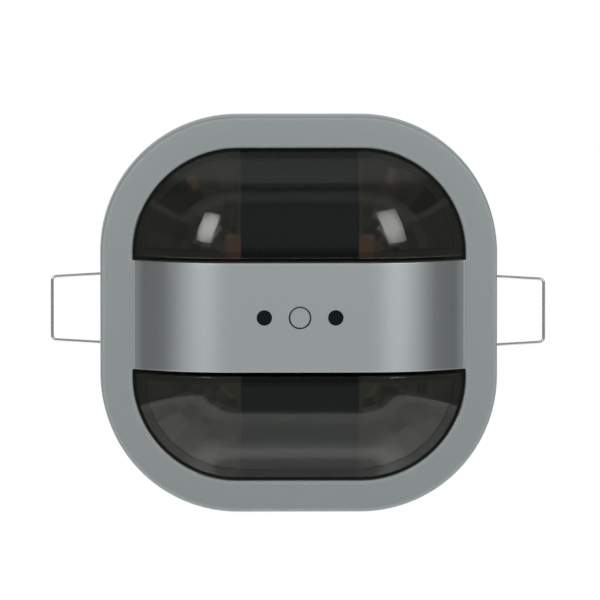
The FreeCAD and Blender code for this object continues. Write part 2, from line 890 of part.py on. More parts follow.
def clip_root_y():
    """Where an arm leaves its coil: the arm slopes by the coil's lead angle."""
    slope = coil_pitch / (2 * math.pi * coil_radius)
    return clip_tip_width / 2 + (clip_reach - pin_x) * slope


def ear_inner_face():
    return clip_root_y() - wire_diameter / 2 - ear_gap - ear_thickness


def clip_coil(root, along):
    """The coil that an arm runs into, wound on the pin away from the middle of the clip."""
    path = Part.makeHelix(coil_pitch, clip_turns * coil_pitch, coil_radius)
    path.rotate(Vector(0, 0, 0), Vector(1, 0, 0), -90)
    path.rotate(Vector(0, 0, 0), Vector(0, 1, 0), 90)
    path.translate(Vector(pin_x, root.y, pin_z))
    ring = Part.Wire([Part.makeCircle(wire_diameter / 2, root, along)])
    return path.makePipeShell([ring], True, True)


def spring_clip(side, rise):
    """One wire: a coil on the pin, an arm, the tip, and the same again below."""
    slope = coil_pitch / (2 * math.pi * coil_radius)
    root = Vector(pin_x, clip_root_y(), pin_z - coil_radius)
    along = Vector(1, -slope, 0).normalize()
    corner = root + along * ((clip_reach - pin_x) / along.x)
    angle = math.pi / 2 - math.atan(slope)
    tangent = clip_bend_radius * math.tan(angle / 2)
    bend_start = corner - along * tangent
    bend_end = corner + Vector(0, -tangent, 0)
    inward = (bend_start + bend_end) * 0.5 - corner
    centre = corner + inward.normalize() * (clip_bend_radius / math.cos(angle / 2))
    bend_middle = centre - inward * clip_bend_radius
    tip = Vector(clip_reach, 0, root.z)
    path = Part.Wire(
        [
            Part.LineSegment(tip, bend_end).toShape(),
            Part.Arc(bend_end, bend_middle, bend_start).toShape(),
            Part.LineSegment(bend_start, root).toShape(),
        ]
    )
    ring = Part.Wire([Part.makeCircle(wire_diameter / 2, tip, Vector(0, 1, 0))])
    half = path.makePipeShell([ring], True, False).fuse(clip_coil(root, along))
    clip = half.fuse(half.mirror(Vector(0, 0, 0), Vector(0, 1, 0))).removeSplitter()
    clip.translate(Vector(0, rise, 0))
    return mirrored(clip) if side < 0 else clip


def clip_pin(side, rise):
    half = clip_root_y() + (clip_turns + 1) * coil_pitch
    pin = Part.makeCylinder(pin_diameter / 2, 2 * half, Vector(side * pin_x, rise - half, pin_z), Vector(0, 1, 0))
    ends = [edge for edge in pin.Edges if edge.BoundBox.YLength < 1e-4]
    return pin.makeChamfer(pin_chamfer, ends)


def nodes():
    """Every piece of the detector by name, face up."""
    upper_window = window()
    corner_lens = segment_lens()
    half_lens = mirrored(corner_lens)
    pieces = {
        "front_cover": front_cover(),
        "window_upper": upper_window,
        "window_lower": turned(upper_window, 180),
        "segment_lens_upper_right": corner_lens,
        "segment_lens_upper_left": half_lens,
        "segment_lens_lower_left": turned(corner_lens, 180),
        "segment_lens_lower_right": turned(half_lens, 180),
        "sensor_carrier": sensor_carrier(),
        "sensor_board": sensor_board(),
        "port_guide_left": port_guide(-1),
        "port_guide_right": port_guide(1),
        "light_sensor": board_block(light_sensor_size, -port_spacing / 2),
        "infrared_receiver": board_block(receiver_size, port_spacing / 2),
        "status_led": status_led(),
        "button_switch": button_switch(),
        "switch_plunger": switch_plunger(),
        "push_button": push_button(),
        "rear_housing": rear_housing(),
        "rear_cover": rear_cover(),
        "cable_grommet": cable_grommet(),
        "power_board": power_board(),
        "power_module": power_module(),
        "relay": relay(),
        "capacitor": capacitor(),
        "board_link_socket": board_link_socket(),
        "board_link_header": board_link_header(),
        "terminal_block": terminal_block(),
        "terminal_clamps": terminal_clamps(),
        "terminal_screws": terminal_screws(),
        "cover_screws": cover_screws(),
        "rear_screws": rear_screws(),
        "spring_clip_left": spring_clip(-1, clip_rise_left),
        "spring_clip_right": spring_clip(1, clip_rise_right),
        "clip_pin_left": clip_pin(-1, clip_rise_left),
        "clip_pin_right": clip_pin(1, clip_rise_right),
    }
    names = ("upper_left", "upper_right", "lower_left", "lower_right")
    for name, (x, y) in zip(names, pyro_places()):
        pieces["pyro_sensor_" + name] = pyro_sensor(x, y)
    return pieces


def stood_up(shape):
    """Turned so that the face looks along -Y and the top of the face is +Z."""
    copy = shape.copy()
    copy.rotate(Vector(0, 0, 0), Vector(1, 0, 0), 90)
    return copy


def main():
    os.makedirs("parts", exist_ok=True)
    for name, shape in nodes().items():
        piece = stood_up(shape)
        print(name, "solids", len(piece.Solids), "valid", piece.isValid(), "volume", round(piece.Volume, 1))
        piece.exportStep("parts/" + name + ".step")


main()
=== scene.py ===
# %% [markdown]
# A recessed presence detector, dressed for its portrait. The construction comes from a packed
# frame: every solid is already in place, in metres, and this file only gives it surfaces, light
# and a camera. Each step below says what the real thing is, how it could be made in Blender, and
# why this way won.

# %% Load the frame
import json
import math

import bpy
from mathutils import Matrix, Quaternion, Vector

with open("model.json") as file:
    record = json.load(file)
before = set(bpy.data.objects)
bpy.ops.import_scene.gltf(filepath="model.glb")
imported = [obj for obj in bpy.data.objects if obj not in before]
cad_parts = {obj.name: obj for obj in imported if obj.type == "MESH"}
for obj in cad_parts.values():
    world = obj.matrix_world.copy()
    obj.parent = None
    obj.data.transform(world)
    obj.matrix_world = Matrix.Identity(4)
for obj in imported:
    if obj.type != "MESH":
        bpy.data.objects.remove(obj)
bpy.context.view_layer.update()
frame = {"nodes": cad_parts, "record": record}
nodes = frame["nodes"]

# %% [markdown]
# The photograph is a catalogue shot: a very long lens, a touch from the left and a touch from
# above. A camera could be placed by hand until it looks right. Working it out from the picture is
# surer: one pixel is 0.26 mm at the face, and the face sits a little below the middle of the frame.

# %% Camera
MM = 0.001
FRAME_PIXELS = 600
PIXEL = 0.2587 * MM
CAMERA_AZIMUTH = -1.0
CAMERA_ELEVATION = 3.8
CAMERA_DISTANCE = 2.5
CAMERA_REACH = 50.0
SENSOR_WIDTH = 36.0
FACE_CENTRE_PIXEL = (299.2, 314.5)
FACE_HEIGHT = 11.0 * MM


def heading_to(azimuth, elevation):
    """The direction from the face toward something, from its two angles in degrees."""
    around, above = math.radians(azimuth), math.radians(elevation)
    return Vector(
        (
            math.sin(around) * math.cos(above),
            -math.cos(around) * math.cos(above),
            math.sin(above),
        )
    )


toward_camera = heading_to(CAMERA_AZIMUTH, CAMERA_ELEVATION)
camera_data = bpy.data.cameras.new("portrait_lens")
camera = bpy.data.objects.new("portrait_camera", camera_data)
bpy.context.scene.collection.objects.link(camera)
bpy.context.scene.camera = camera
turn = (-toward_camera).to_track_quat("-Z", "Y")
right = turn @ Vector((1, 0, 0))
up = turn @ Vector((0, 1, 0))
half_frame = FRAME_PIXELS / 2
shift_right = (half_frame - FACE_CENTRE_PIXEL[0]) * PIXEL
shift_up = (FACE_CENTRE_PIXEL[1] - half_frame) * PIXEL
target = Vector((0, -FACE_HEIGHT, 0)) + right * shift_right + up * shift_up
camera.location = target + toward_camera * CAMERA_DISTANCE
camera.rotation_mode = "QUATERNION"
camera.rotation_quaternion = turn
camera_data.sensor_width = SENSOR_WIDTH
camera_data.lens = SENSOR_WIDTH * CAMERA_DISTANCE / (FRAME_PIXELS * PIXEL)
camera_data.clip_end = CAMERA_REACH
print("camera at", [round(c, 3) for c in camera.location], "lens", round(camera_data.lens, 1), "mm")

# %% [markdown]
# A shader tree is easier to read when one short helper places a node and sets its inputs. An input
# given as a number or a colour is set on the socket, and one given as another node's output is
# linked. Many masks below fade in or out over a short distance, so that has helpers of its own.

# %% Helpers for shader trees
def place(tree, kind, inputs=None, **settings):
    """Add a node, with its settings and its inputs."""
    made = tree.nodes.new(kind)
    for name, value in settings.items():
        setattr(made, name, value)
    for name, value in (inputs or {}).items():
        socket = made.inputs[name]
        if isinstance(value, bpy.types.NodeSocket):
            tree.links.new(value, socket)
        else:
            socket.default_value = value
    return made


def math_node(tree, operation, first, second=0.0):
    return place(tree, "ShaderNodeMath", {0: first, 1: second}, operation=operation).outputs[0]


def range_node(tree, value, low, high, to_low, to_high, smooth=False):
    """Carry one range of values over to another, in a straight line or with soft ends."""
    kind = "SMOOTHSTEP" if smooth else "LINEAR"
    ends = {"From Min": low, "From Max": high, "To Min": to_low, "To Max": to_high}
    made = place(tree, "ShaderNodeMapRange", {"Value": value, **ends}, interpolation_type=kind)
    return made.outputs["Result"]


def rise(tree, distance, span, top=1.0):
    """0 before the span, a soft rise over it, and the top value past it. The span is in mm."""
    return range_node(tree, distance, span[0] * MM, span[1] * MM, 0.0, top, smooth=True)


def fall(tree, distance, span, top=1.0):
    """The top value before the span, a soft fall over it, and 0 past it. The span is in mm."""
    return range_node(tree, distance, span[0] * MM, span[1] * MM, top, 0.0, smooth=True)


def band(tree, distance, start, end, top=1.0):
    """A rise over the start span to the top value, and a fall back to 0 over the end span."""
    return math_node(tree, "MULTIPLY", rise(tree, distance, start, top), fall(tree, distance, end))


print("helpers", [helper.__name__ for helper in (place, math_node, range_node, rise, fall, band)])

# %% [markdown]
# The studio. On the photo the background is pure white and no shadow shows, but the dark windows
# mirror the room: a bright table below, a dark room behind the camera, a faint uneven strip of
# ceiling above it and paler walls at the sides. A picture of a studio could be wrapped round the
# world, but no image is used here, so the world is shaded by direction. One ramp gives the light
# by height, from straight below to straight above, and a second by the angle away from the camera,
# which lights the sides and the back. The table and the ceiling strip reach round the object a
# little, so a direction that is off to the side as well as up or down counts as steeper. One level
# for the room and the lamps is set so that a colour renders about as it is written, and only the
# camera's own rays see plain white.

# %% World
scene = bpy.context.scene
scene.view_settings.view_transform = "Standard"
world = bpy.data.worlds.new("studio")
scene.world = world
world.use_nodes = True
tree = world.node_tree
tree.nodes.clear()

HEIGHT_LIGHT = [
    (-90.0, 0.72), (-85.5, 0.74), (-84.0, 1.55), (-81.0, 1.55), (-78.5, 1.00),
    (-66.0, 0.75), (-50.0, 0.80), (-45.0, 1.02), (-36.0, 1.05), (-34.5, 0.16),
    (49.0, 0.16), (52.0, 0.38), (61.0, 0.38), (63.5, 0.11), (73.0, 0.11),
    (75.0, 0.52), (82.0, 0.50), (84.0, 0.38), (90.0, 0.38),
]
AROUND_LIGHT = [
    (0.0, 0.0), (92.0, 0.0), (100.0, 0.12), (125.0, 0.29),
    (140.0, 0.38), (155.0, 0.62), (180.0, 0.65),
]
RAMP_TOP = 2.0
STUDIO_LEVEL = 1.5
WRAP = 0.85
WRAP_STARTS = 0.22
WRAP_FULL = 0.69
RIGHT_WALL_STARTS = 0.5
RIGHT_WALL_LIGHT = 0.18
NEARLY_ZERO = 0.001
WHITE = (1, 1, 1, 1)


def light_ramp(tree, angle, low, high, stops):
    """Light level by angle in degrees. A colour ramp ends at 1, so levels are scaled to fit."""
    share = range_node(tree, angle, math.radians(low), math.radians(high), 0.0, 1.0)
    ramp = place(tree, "ShaderNodeValToRGB", {"Fac": share})
    elements = ramp.color_ramp.elements
    while len(elements) < len(stops):
        elements.new(0.5)
    for element, (degrees, light) in zip(elements, stops):
        element.position = (degrees - low) / (high - low)
        element.color = (light / RAMP_TOP, light / RAMP_TOP, light / RAMP_TOP, 1.0)
    return math_node(tree, "MULTIPLY", ramp.outputs["Color"], RAMP_TOP)


direction = place(tree, "ShaderNodeTexCoord").outputs["Generated"]
parts = place(tree, "ShaderNodeSeparateXYZ", {"Vector": direction}).outputs
sideways = math_node(tree, "ABSOLUTE", parts["X"])
steepness = math_node(tree, "ABSOLUTE", parts["Z"])
steepness = math_node(tree, "DIVIDE", steepness, math_node(tree, "MAXIMUM", sideways, NEARLY_ZERO))
wrap = range_node(tree, steepness, WRAP_STARTS, WRAP_FULL, 0.0, WRAP, smooth=True)
squared = math_node(tree, "MULTIPLY", math_node(tree, "MULTIPLY", sideways, sideways), wrap)
squared = math_node(tree, "ADD", squared, math_node(tree, "MULTIPLY", parts["Z"], parts["Z"]))
reach = math_node(tree, "MINIMUM", math_node(tree, "SQRT", squared), 1.0)
reach = math_node(tree, "ARCSINE", reach)
height_angle = math_node(tree, "MULTIPLY", reach, math_node(tree, "SIGN", parts["Z"]))
around_angle = math_node(tree, "ARCCOSINE", math_node(tree, "MULTIPLY", parts["Y"], -1.0))
by_height = light_ramp(tree, height_angle, -90.0, 90.0, HEIGHT_LIGHT)
around = light_ramp(tree, around_angle, 0.0, 180.0, AROUND_LIGHT)
on_right = range_node(tree, parts["X"], RIGHT_WALL_STARTS, 1.0, 0.0, RIGHT_WALL_LIGHT)
around = math_node(tree, "ADD", around, math_node(tree, "MULTIPLY", around, on_right))
level = math_node(tree, "MAXIMUM", by_height, around)
level = math_node(tree, "MULTIPLY", level, STUDIO_LEVEL)
seen = place(tree, "ShaderNodeLightPath").outputs["Is Camera Ray"]
strength = place(tree, "ShaderNodeMix", {"Factor": seen, "A": level, "B": 1.0}, data_type="FLOAT")
sky_inputs = {"Color": WHITE, "Strength": strength.outputs["Result"]}
sky = place(tree, "ShaderNodeBackground", sky_inputs)
place(tree, "ShaderNodeOutputWorld", {"Surface": sky.outputs[0]})
print("world shaded by direction with", len(HEIGHT_LIGHT), "heights at level", STUDIO_LEVEL)

# %% [markdown]
# The two softboxes are area lamps. Their place and size are read back from their mirror images in
# the domed windows: the dome's slope under each reflection gives the direction it came from. A
# real softbox is brightest in the middle of its cloth, so the strength falls off towards the sides
# and the ends.

# %% Softboxes
LAMP_DISTANCE = 1.5
SIDE_DROP = 0.24
END_DROP = 0.45


def softbox(name, azimuth, elevation, wide, tall, roll, power):
    """A rectangular lamp in a direction from the face, its size and its roll given as angles."""
    heading = heading_to(azimuth, elevation)
    data = bpy.data.lights.new(name, "AREA")
    data.shape = "RECTANGLE"
    data.size = 2 * LAMP_DISTANCE * math.tan(math.radians(wide / 2))
    data.size_y = 2 * LAMP_DISTANCE * math.tan(math.radians(tall / 2))
    data.energy = power * STUDIO_LEVEL
    data.use_nodes = True
    tree = data.node_tree
    across = place(tree, "ShaderNodeNewGeometry").outputs["Parametric"]
    across = place(tree, "ShaderNodeSeparateXYZ", {"Vector": across}).outputs
    strength = 1.0
    for axis, drop in (("X", SIDE_DROP), ("Y", END_DROP)):
        # At the edge this is half a lamp from the middle, and four times its square is 1.
        off = math_node(tree, "SUBTRACT", across[axis], 0.5)
        loss = math_node(tree, "MULTIPLY", math_node(tree, "MULTIPLY", off, off), 4 * drop)
        strength = math_node(tree, "SUBTRACT", strength, loss)
    tree.links.new(strength, tree.nodes["Emission"].inputs["Strength"])
    lamp = bpy.data.objects.new(name, data)
    scene.collection.objects.link(lamp)
    lamp.location = heading * LAMP_DISTANCE
    lamp.rotation_mode = "QUATERNION"
    aim = (-heading).to_track_quat("-Z", "Y")
    lamp.rotation_quaternion = aim @ Quaternion((0, 0, 1), math.radians(roll))
    return lamp


softbox("softbox_left", azimuth=-30.3, elevation=22.9, wide=16.5, tall=27.0, roll=-7.0, power=7.0)
softbox("softbox_right", azimuth=33.2, elevation=24.0, wide=20.3, tall=31.0, roll=8.0, power=8.2)
print("softboxes", [light.name for light in bpy.data.lights])

# %% [markdown]
# A pale floor far below the detector. From above it is white to the camera, so the background stays
# white. Every other ray passes through it, because the world below already holds the light of the
# table.

# %% Floor
FLOOR_DROP = 0.45
FLOOR_LEFT, FLOOR_RIGHT = -3.0, 3.0
FLOOR_FRONT, FLOOR_BACK = -0.6, 3.0

floor_mesh = bpy.data.meshes.new("floor")
corners = [
    (FLOOR_LEFT, FLOOR_FRONT, -FLOOR_DROP),
    (FLOOR_RIGHT, FLOOR_FRONT, -FLOOR_DROP),
    (FLOOR_RIGHT, FLOOR_BACK, -FLOOR_DROP),
    (FLOOR_LEFT, FLOOR_BACK, -FLOOR_DROP),
]
floor_mesh.from_pydata(corners, [], [(0, 1, 2, 3)])
floor = bpy.data.objects.new("floor", floor_mesh)
scene.collection.objects.link(floor)
paper = bpy.data.materials.new("studio_paper")
paper.use_nodes = True
tree = paper.node_tree
tree.nodes.clear()
underside = place(tree, "ShaderNodeNewGeometry").outputs["Backfacing"]
above = math_node(tree, "SUBTRACT", 1.0, underside)
seen = place(tree, "ShaderNodeLightPath").outputs["Is Camera Ray"]
seen = math_node(tree, "MULTIPLY", seen, above)
through = place(tree, "ShaderNodeBsdfTransparent")
white = place(tree, "ShaderNodeEmission", {"Color": WHITE, "Strength": 1.0})
mix = place(tree, "ShaderNodeMixShader", {0: seen, 1: through.outputs[0], 2: white.outputs[0]})
place(tree, "ShaderNodeOutputMaterial", {"Surface": mix.outputs[0]})
floor_mesh.materials.append(paper)
print("floor", FLOOR_DROP, "m below")

# %% [markdown]
# Shared effects. Grain, flakes and cloudy tone variation turn up in many finishes at different
# scales, so each is a node group with named sockets, built once. Two more groups tell where on the
# face a point lies and which flat of a lens array it is on, because the arrays, the windows and the
# cover all follow the same four corners. The groups give only masks, heights, tones and distances,
# and the Principled BSDF stays in each material.

# %% Node groups
CORNER_OFFSET = 15.9 * MM
RING_WIDTH = 2.45 * MM
FIRST_RING = 4.97 * MM
LAST_RING = 5.0
UPPER_STEP = 7.0
# Turns and the glint's half width are in degrees, its half length is in mm.
SECTOR_TURN = 15.0
GLINT_TURN_LEFT = 58.0
GLINT_TURN_RIGHT = 68.5
GLINT_DISTANCE = 21.6 * MM
GLINT_HALF_WIDTH = (1.5, 4.0)
GLINT_HALF_LENGTH = (1.3, 2.5)
GRAIN_LOW = 0.35
GRAIN_HIGH = 0.65
DUSTY_FROM = 0.82


def use_group(tree, group, **values):
    """Place a group in a tree. An underscore in a value's name stands for a space."""
    made = tree.nodes.new("ShaderNodeGroup")
    made.node_tree = group
    for name, value in values.items():
        made.inputs[name.replace("_", " ")].default_value = value
    return made.outputs


def new_group(name, inputs, outputs):
    """An empty group with its sockets: inputs as names with defaults, outputs as names."""
    group = bpy.data.node_groups.new(name, "ShaderNodeTree")
    sockets = group.interface
    for label, default in inputs:
        socket = sockets.new_socket(name=label, in_out="INPUT", socket_type="NodeSocketFloat")
        socket.default_value = default
    for label in outputs:
        sockets.new_socket(name=label, in_out="OUTPUT", socket_type="NodeSocketFloat")
    start = group.nodes.new("NodeGroupInput").outputs
    end = group.nodes.new("NodeGroupOutput").inputs
    return group, start, end


def object_point(tree):
    return place(tree, "ShaderNodeTexCoord").outputs["Object"]


def noise_at(tree, point, scale, detail, **more):
    inputs = {"Vector": point, "Scale": scale, "Detail": detail, **more}
    return place(tree, "ShaderNodeTexNoise", inputs).outputs["Fac"]


def cells_at(tree, scale):
    """Random cells, and the chances that each cell holds in the parts of its colour."""
    inputs = {"Vector": object_point(tree), "Scale": scale}
    cells = place(tree, "ShaderNodeTexVoronoi", inputs).outputs
    chances = place(tree, "ShaderNodeSeparateColor", {"Color": cells["Color"]}).outputs
    return cells, chances


def build_grain():
    """Fine even grain, as spark erosion leaves on a mould: a height and a mask."""
    inputs = [("Cells per metre", 4000.0), ("Softness", 0.5)]
    group, start, end = new_group("moulded_grain", inputs, ["Height", "Mask"])
    point = object_point(group)
    noise = noise_at(group, point, start["Cells per metre"], 3.0, Roughness=start["Softness"])
    group.links.new(noise, end["Height"])
    group.links.new(range_node(group, noise, GRAIN_LOW, GRAIN_HIGH, 0.0, 1.0), end["Mask"])
    return group


def build_flakes():
    """Metallic flakes in paint: each cell has its own brightness, and few cells are bright."""
    inputs = [("Cells per metre", 9000.0), ("Share", 0.25)]
    group, start, end = new_group("paint_flakes", inputs, ["Mask", "Tone"])
    chances = cells_at(group, start["Cells per metre"])[1]
    threshold = math_node(group, "SUBTRACT", 1.0, start["Share"])
    bright = range_node(group, chances["Red"], threshold, 1.0, 0.0, 1.0)
    group.links.new(bright, end["Mask"])
    group.links.new(chances["Red"], end["Tone"])
    return group


def build_clouds():
    """Slow cloudy variation over centimetres, as in any moulded or painted face."""
    inputs = [("Clouds per metre", 60.0), ("Contrast", 0.5)]
    group, start, end = new_group("cloudy_tone", inputs, ["Mask"])
    noise = noise_at(group, object_point(group), start["Clouds per metre"], 4.0)
    centred = math_node(group, "SUBTRACT", noise, 0.5)
    scaled = math_node(group, "MULTIPLY", centred, start["Contrast"])
    group.links.new(math_node(group, "ADD", scaled, 0.5), end["Mask"])
    return group


def build_dust():
    """Sparse specks of dust and lint: small round dots in a few of the cells."""
    inputs = [("Cells per metre", 500.0), ("Speck size", 0.06)]
    group, start, end = new_group("sparse_dust", inputs, ["Mask"])
    cells, chances = cells_at(group, start["Cells per metre"])
    few = math_node(group, "GREATER_THAN", chances["Green"], DUSTY_FROM)
    near = math_node(group, "LESS_THAN", cells["Distance"], start["Speck size"])
    group.links.new(math_node(group, "MULTIPLY", few, near), end["Mask"])
    return group


def build_corner_place():
    """Where a point lies on the face: its distance from the nearest corner centre, its turn round
    that centre, its distances across and up from the middle, whether it is in the upper half, and
    which side it is on."""
    outputs = ["Distance", "Turn", "Across", "Up", "Upper", "Side"]
    group, start, end = new_group("corner_place", [("Corner offset", CORNER_OFFSET)], outputs)
    parts = place(group, "ShaderNodeSeparateXYZ", {"Vector": object_point(group)}).outputs
    beyond = []
    for axis, label in (("X", "Across"), ("Z", "Up")):
        size = math_node(group, "ABSOLUTE", parts[axis])
        group.links.new(size, end[label])
        past_centre = math_node(group, "SUBTRACT", size, start["Corner offset"])
        beyond.append(math_node(group, "MAXIMUM", past_centre, 0.0))
    squares = [math_node(group, "MULTIPLY", leg, leg) for leg in beyond]
    distance = math_node(group, "SQRT", math_node(group, "ADD", *squares))
    group.links.new(distance, end["Distance"])
    group.links.new(math_node(group, "ARCTAN2", beyond[1], beyond[0]), end["Turn"])
    group.links.new(math_node(group, "GREATER_THAN", parts["Z"], 0.0), end["Upper"])
    group.links.new(math_node(group, "SIGN", parts["X"]), end["Side"])
    return group


def build_facets(corners):
    """The flats of the lens arrays: a random tone for each flat, painted in for the light each flat
    bends from elsewhere, and a narrow painted glint on one flat per upper corner."""
    inputs = [("Ring width", RING_WIDTH), ("First ring", FIRST_RING)]
    group, start, end = new_group("lens_facets", inputs, ["Tone", "Glint"])
    spot = use_group(group, corners, Corner_offset=CORNER_OFFSET)
    ring = math_node(group, "SUBTRACT", spot["Distance"], start["First ring"])
    ring = math_node(group, "DIVIDE", ring, start["Ring width"])
    ring = math_node(group, "MINIMUM", math_node(group, "FLOOR", ring), LAST_RING)
    sector = math_node(group, "DIVIDE", spot["Turn"], math.radians(SECTOR_TURN))
    sector = math_node(group, "FLOOR", sector)
    upper = math_node(group, "MULTIPLY", spot["Upper"], UPPER_STEP)
    corner = math_node(group, "ADD", upper, spot["Side"])
    flat = place(group, "ShaderNodeCombineXYZ", {"X": ring, "Y": sector, "Z": corner}).outputs[0]
    chance = place(group, "ShaderNodeTexWhiteNoise", {"Vector": flat}, noise_dimensions="3D")
    group.links.new(chance.outputs["Value"], end["Tone"])
    turns = (math.radians(GLINT_TURN_LEFT), math.radians(GLINT_TURN_RIGHT))
    middle = range_node(group, spot["Side"], -1.0, 1.0, *turns)
    off = math_node(group, "ABSOLUTE", math_node(group, "SUBTRACT", spot["Turn"], middle))
    widths = (math.radians(GLINT_HALF_WIDTH[0]), math.radians(GLINT_HALF_WIDTH[1]))
    narrow = range_node(group, off, *widths, 1.0, 0.0, smooth=True)
    along = math_node(group, "SUBTRACT", spot["Distance"], GLINT_DISTANCE)
    short = fall(group, math_node(group, "ABSOLUTE", along), GLINT_HALF_LENGTH)
    glint = math_node(group, "MULTIPLY", math_node(group, "MULTIPLY", narrow, short), spot["Upper"])
    group.links.new(glint, end["Glint"])
    return group


GRAIN = build_grain()
FLAKES = build_flakes()
CLOUDS = build_clouds()
DUST = build_dust()
CORNERS = build_corner_place()
FACETS = build_facets(CORNERS)
print("node groups", [group.name for group in bpy.data.node_groups])

# %% [markdown]
# Every finish starts the same way: a material with one Principled BSDF, whose plain values are set
# on its own sockets, and whose patterned inputs come from the groups. Most finishes blend two close
# colours by a tone that is mixed from two patterns, a strong one and a weaker one.

# %% Helpers for materials
STRONG_SHARE = 0.6


def mix_colour(tree, factor, first, second):
    """A colour between two others. A Mix node has hidden twins of its sockets, so the colour ones
    are picked by type."""
    made = place(tree, "ShaderNodeMix", {"Factor": factor}, data_type="RGBA")
    for label, value in (("A", first), ("B", second)):
        socket = next(s for s in made.inputs if s.name == label and s.type == "RGBA")
        if isinstance(value, bpy.types.NodeSocket):
            tree.links.new(value, socket)
        else:
            socket.default_value = (*value, 1.0)
    return next(s for s in made.outputs if s.type == "RGBA")


def mix_tones(tree, strong, weak):
    """One tone from two patterns, the first of which counts for more."""
    strong = math_node(tree, "MULTIPLY", strong, STRONG_SHARE)
    weak = math_node(tree, "MULTIPLY", weak, 1.0 - STRONG_SHARE)
    return math_node(tree, "ADD", strong, weak)


def bump(tree, height, strength, depth):
    """A normal that follows a height. The depth is in mm."""
    inputs = {"Height": height, "Strength": strength, "Distance": depth * MM}
    return place(tree, "ShaderNodeBump", inputs).outputs["Normal"]


def finish_material(name, **plain):
    """A material and its Principled BSDF, with the plain values on its sockets."""
    material = bpy.data.materials.new(name)
    material.use_nodes = True
    tree = material.node_tree
    shader = next(n for n in tree.nodes if n.type == "BSDF_PRINCIPLED")
    for label, value in plain.items():
        shader.inputs[label.replace("_", " ")].default_value = value
    return material, tree, shader.inputs


print("helpers", [helper.__name__ for helper in (mix_colour, mix_tones, bump, finish_material)])

# %% [markdown]
# Silver paint covers the rim, the bridge and the button. On the real cover it is a satin lacquer
# with fine aluminium flakes over moulded plastic: it has a broad highlight on the shoulders of the
# bridge and goes dark on the flanks. A grey diffuse colour would not do that, so the paint is
# mostly metallic and fairly rough, and flakes vary its tone cell by cell. Shade is also painted
# into the colour: on the flanks of the bridge and their foot, on the inner wall of the opening and,
# a little, on the whole rim, which dims the highlights at the foot and the lip. The paint is
# rougher on the lip of the opening and on the rim's outer edge. The cover follows its four corners
# all round, so the distance from the nearest corner centre tells these zones apart.

# %% Silver paint
PAINT_DARK = (0.378, 0.412, 0.412)
PAINT_LIGHT = (0.455, 0.491, 0.489)
# The colour that the painted shade mixes toward, and below how strongly shade is painted on each
# zone.
PAINTED_SHADE_COLOUR = (0.08, 0.087, 0.087)
PAINT_ROUGHNESS = 0.47
FLAKE_ROUGHNESS = 0.41
RIM_SHADE = 0.16
OPENING_SHADE = 0.85
FLANK_SHADE = 0.45
FOOT_SHADE = 0.27
EDGE_ROUGHNESS = 0.3
LIP_ROUGHNESS = 0.35
# Where the zones start and end, in mm from the corner centres, or above the middle for the first.
BESIDE_BRIDGE = (14.2, 14.6)
FLANK_STARTS = (13.5, 21.5)
FLANK_ENDS = (24.0, 26.5)
FOOT_STARTS = (26.2, 26.6)
FOOT_ENDS = (27.1, 27.5)
RIM_STARTS = (26.9, 27.4)
OPENING_ENDS = (27.1, 27.5)
LIP_ENDS = (27.8, 28.1)
EDGE_STARTS = (34.4, 34.7)
EDGE_ENDS = (35.3, 35.6)


def silver_paint():
    material, tree, shader = finish_material(
        "silver_paint", Metallic=0.97, Coat_Weight=0.12, Coat_Roughness=0.3
    )
    flakes = use_group(tree, FLAKES, Cells_per_metre=7000.0, Share=0.35)
    clouds = use_group(tree, CLOUDS, Clouds_per_metre=45.0, Contrast=0.35)
    grain = use_group(tree, GRAIN, Cells_per_metre=2500.0, Softness=0.6)
    spot = use_group(tree, CORNERS, Corner_offset=CORNER_OFFSET)
    out = spot["Distance"]
    beside = rise(tree, spot["Up"], BESIDE_BRIDGE)
    at_opening = math_node(tree, "MULTIPLY", fall(tree, out, OPENING_ENDS, OPENING_SHADE), beside)
    on_flank = band(tree, out, FLANK_STARTS, FLANK_ENDS, FLANK_SHADE)
    at_foot = band(tree, out, FOOT_STARTS, FOOT_ENDS, FOOT_SHADE)
    # Painted shade: the colour is darkened on the rim, the lip of the opening, the bridge's flanks
    # and their foot.
    shade = rise(tree, out, RIM_STARTS, RIM_SHADE)
    for zone in (at_opening, on_flank, at_foot):
        shade = math_node(tree, "MAXIMUM", shade, zone)
    at_lip = math_node(tree, "MULTIPLY", fall(tree, out, LIP_ENDS, LIP_ROUGHNESS), beside)
    at_edge = band(tree, out, EDGE_STARTS, EDGE_ENDS, EDGE_ROUGHNESS)
    rougher = math_node(tree, "MAXIMUM", at_edge, at_lip)
    tone = mix_tones(tree, flakes["Tone"], clouds["Mask"])
    paint = mix_colour(tree, tone, PAINT_DARK, PAINT_LIGHT)
    tree.links.new(mix_colour(tree, shade, paint, PAINTED_SHADE_COLOUR), shader["Base Color"])
    rough = range_node(tree, flakes["Mask"], 0.0, 1.0, PAINT_ROUGHNESS, FLAKE_ROUGHNESS)
    tree.links.new(math_node(tree, "ADD", rough, rougher), shader["Roughness"])
    tree.links.new(bump(tree, grain["Height"], strength=0.12, depth=0.03), shader["Normal"])
    return material


SILVER = silver_paint()
print("made", SILVER.name)

# %% [markdown]
# The windows are polished smoked plastic. Glass with real refraction would bend the rays and leave
# the inside noisy and dark, for a wall this thin to no gain. Alpha does it: part of each ray passes
# straight through, and the rest sees a nearly black, mirror smooth surface whose gloss is a trace
# yellow. At a slant the light has more plastic to cross, so there the window is nearly opaque. A
# paler border shows round each lens array, and near the foot of the upper ones a painted amber
# glint stands for the gold sensor cans gleaming through.

# %% Smoked windows
SMOKE = (0.003, 0.007, 0.006)
BORDER_SMOKE = (0.031, 0.034, 0.025)
PAINTED_AMBER_GLINT = (0.070, 0.045, 0.028)
DUST_COLOUR = (0.10, 0.10, 0.095)
GLOSS_TINT = (1.0, 1.0, 0.955, 1.0)
FACING_ALPHA = 0.36
SLANTED_ALPHA = 0.93
SLANT_STARTS = 0.66
SLANT_ENDS = 0.86
POLISHED = 0.02
HAZY = 0.07
